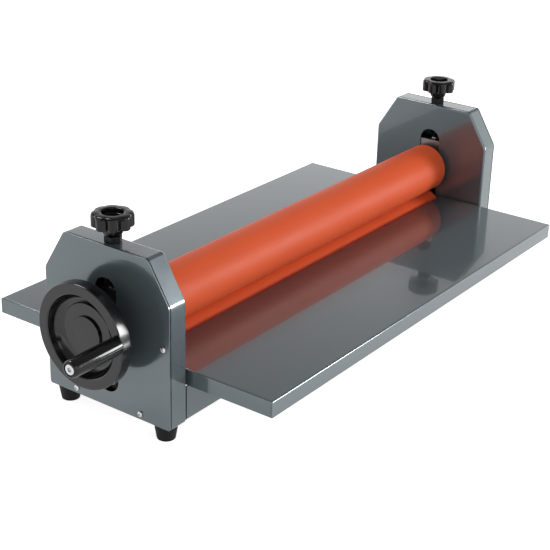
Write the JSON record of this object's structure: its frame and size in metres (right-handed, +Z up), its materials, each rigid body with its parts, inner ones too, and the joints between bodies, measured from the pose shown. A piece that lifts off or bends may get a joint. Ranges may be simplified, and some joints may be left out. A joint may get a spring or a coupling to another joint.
{
  "type": "cold roll laminator",
  "caption": "Table-top manual cold roll laminator: crank handwheel, rubber-covered nip rollers between sheet-metal housings, screw knobs for pressure, folded feed tables.",
  "frame": {"origin": "on the floor plane under the middle of the machine's bounding box, feet on Z = 0", "axes": "+X runs along the rollers away from the handwheel, -Y is the feeding side, +Z is up"},
  "size_m": [0.8598, 0.415, 0.255],
  "materials": {
    "slate_enamel": "glossy baked enamel",
    "orange_silicone": "ground satin silicone rubber",
    "black_plastic": "glossy moulded plastic",
    "black_rubber": "matt moulded rubber",
    "black_oxide_steel": "oiled black oxide",
    "bright_steel": "turned or zinc-plated steel",
    "bronze": "turned bearing bronze"
  },
  "bodies": {
    "frame": {"front_beam": "slate_enamel", "front_table": "slate_enamel", "front_table_nut_1": "bright_steel", "front_table_nut_2": "bright_steel", "rear_beam": "slate_enamel", "rear_table": "slate_enamel", "rear_table_nut_1": "bright_steel", "rear_table_nut_2": "bright_steel", "left_casing": "slate_enamel", "left_cover": "slate_enamel", "left_side_plate": "black_oxide_steel", "left_cover_screw_1": "bright_steel", "left_cover_screw_2": "bright_steel", "left_cover_screw_3": "bright_steel", "left_cover_screw_4": "bright_steel", "left_front_foot": "black_rubber", "left_front_foot_screw": "bright_steel", "left_rear_foot": "black_rubber", "left_rear_foot_screw": "bright_steel", "left_bridge_block": "black_oxide_steel", "left_lock_nut": "black_oxide_steel", "left_lower_bearing_block": "bright_steel", "left_lower_bush": "bronze", "left_lift_spring": "bright_steel", "right_casing": "slate_enamel", "right_cover": "slate_enamel", "right_side_plate": "black_oxide_steel", "right_cover_screw_1": "bright_steel", "right_cover_screw_2": "bright_steel", "right_cover_screw_3": "bright_steel", "right_cover_screw_4": "bright_steel", "right_front_foot": "black_rubber", "right_front_foot_screw": "bright_steel", "right_rear_foot": "black_rubber", "right_rear_foot_screw": "bright_steel", "right_bridge_block": "black_oxide_steel", "right_lock_nut": "black_oxide_steel", "right_lower_bearing_block": "bright_steel", "right_lower_bush": "bronze", "right_lift_spring": "bright_steel"},
    "lift_carriage": {"left_upper_bearing_block": "bright_steel", "left_upper_bush": "bronze", "right_upper_bearing_block": "bright_steel", "right_upper_bush": "bronze"},
    "upper_roller": {"upper_sleeve": "orange_silicone", "upper_tube": "bright_steel", "upper_left_journal": "bright_steel", "upper_right_journal": "bright_steel", "handwheel": "black_plastic", "handwheel_cap": "black_plastic", "handle_bolt": "bright_steel"},
    "handle": {"handle_grip": "black_plastic"},
    "lower_roller": {"lower_sleeve": "orange_silicone", "lower_tube": "bright_steel", "lower_left_journal": "bright_steel", "lower_right_journal": "bright_steel"},
    "left_knob": {"left_star_knob": "black_plastic", "left_pressure_screw": "black_oxide_steel"},
    "right_knob": {"right_star_knob": "black_plastic", "right_pressure_screw": "black_oxide_steel"}
  },
  "joints": [
    {"name": "left_knob_turn", "type": "hinge", "parent": "lift_carriage", "child": "left_knob", "pos_m": [-0.30015, 0, 0.24], "axis": [0, 0, 1], "range_deg": [0, 3360]},
    {"name": "right_knob_turn", "type": "hinge", "parent": "lift_carriage", "child": "right_knob", "pos_m": [0.40585, 0, 0.24], "axis": [0, 0, 1], "range_deg": [0, 3360]},
    {"name": "nip_gap", "type": "slide", "parent": "frame", "child": "lift_carriage", "axis": [0, 0, 1], "range_m": [0, 0.014], "deforming": ["left_lift_spring", "right_lift_spring"]},
    {"name": "roller_drive", "type": "hinge", "parent": "lift_carriage", "child": "upper_roller", "pos_m": [0.05285, 0, 0.1244], "axis": [1, 0, 0], "continuous": true},
    {"name": "handle_spin", "type": "hinge", "parent": "upper_roller", "child": "handle", "pos_m": [-0.39365, -0.0557, 0.13262], "axis": [1, 0, 0], "continuous": true},
    {"name": "lower_roller_turn", "type": "hinge", "parent": "frame", "child": "lower_roller", "pos_m": [0.05285, 0, 0.0561], "axis": [1, 0, 0], "continuous": true}
  ],
  "couplings": [
    {"joint": "left_knob_turn", "follows": "nip_gap", "rad_per_m": 4188.8},
    {"joint": "right_knob_turn", "follows": "nip_gap", "rad_per_m": 4188.8},
    {"joint": "lower_roller_turn", "follows": "roller_drive", "ratio": -1}
  ]
}
